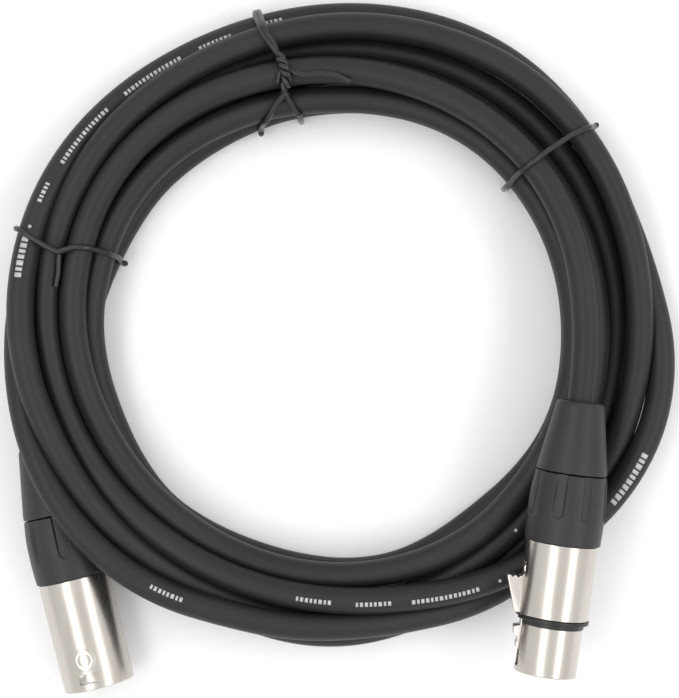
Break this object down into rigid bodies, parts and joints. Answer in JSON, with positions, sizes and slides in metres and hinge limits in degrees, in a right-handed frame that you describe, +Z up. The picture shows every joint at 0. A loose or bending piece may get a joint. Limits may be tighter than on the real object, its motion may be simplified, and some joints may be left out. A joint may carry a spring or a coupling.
{
  "type": "xlr cable coil",
  "caption": "Black balanced microphone cable wound into a flat ring and tied, with a male and a female three-contact connector at its ends and a push latch.",
  "frame": {"origin": "on the resting surface, under the middle of the whole object's box", "axes": "+Z up from the resting surface; +Y away from the end where both connectors point; +X from the male connector towards the female connector"},
  "size_m": [0.1737, 0.1795, 0.0332],
  "materials": {
    "cable_jacket": "matte flexible jacket with a soft sheen",
    "tie_plastic": "thin plastic coating on wire",
    "boot_plastic": "fine matte moulded texture",
    "shell_metal": "satin nickel plating",
    "latch_metal": "satin nickel plating",
    "spring_steel": "plain spring steel",
    "ring_rubber": "matte",
    "carrier_plastic": "moulded",
    "collet_plastic": "moulded",
    "contact_plating": "plated contact",
    "braid_copper": "bare copper braid",
    "core_insulation": "smooth insulation"
  },
  "bodies": {
    "root": {"cable_coil": "cable_jacket", "cable_tail_male": "cable_jacket", "cable_tail_female": "cable_jacket", "male_cable_end": "cable_jacket", "female_cable_end": "cable_jacket", "tie_top": "tie_plastic", "tie_left": "tie_plastic", "tie_right": "tie_plastic", "male_gland": "boot_plastic", "female_gland": "boot_plastic", "male_collar": "boot_plastic", "female_collar": "boot_plastic", "male_shell": "shell_metal", "female_shell": "shell_metal", "latch_pin": "latch_metal", "latch_spring": "spring_steel", "female_ring_band": "ring_rubber", "male_carrier": "carrier_plastic", "female_carrier": "carrier_plastic", "male_collet": "collet_plastic", "female_collet": "collet_plastic", "male_contact_1": "contact_plating", "male_contact_2": "contact_plating", "male_contact_3": "contact_plating", "female_contact_1": "contact_plating", "female_contact_2": "contact_plating", "female_contact_3": "contact_plating", "male_ground_tab": "spring_steel", "female_ground_ring": "spring_steel", "male_braid_end": "braid_copper", "female_braid_end": "braid_copper", "male_conductors": "core_insulation", "female_conductors": "core_insulation"},
    "latch": {"latch_lever": "latch_metal"}
  },
  "joints": [
    {"name": "latch_push", "type": "hinge", "parent": "root", "child": "latch", "pos_m": [0.04825, -0.05582, 0.02268], "axis": [-0.0045, -0.0346, 0.9994], "range_deg": [0, 4], "stiffness_Nm_per_rad": 0.08, "springref_deg": -20.05, "deforming": ["latch_spring"]}
  ]
}
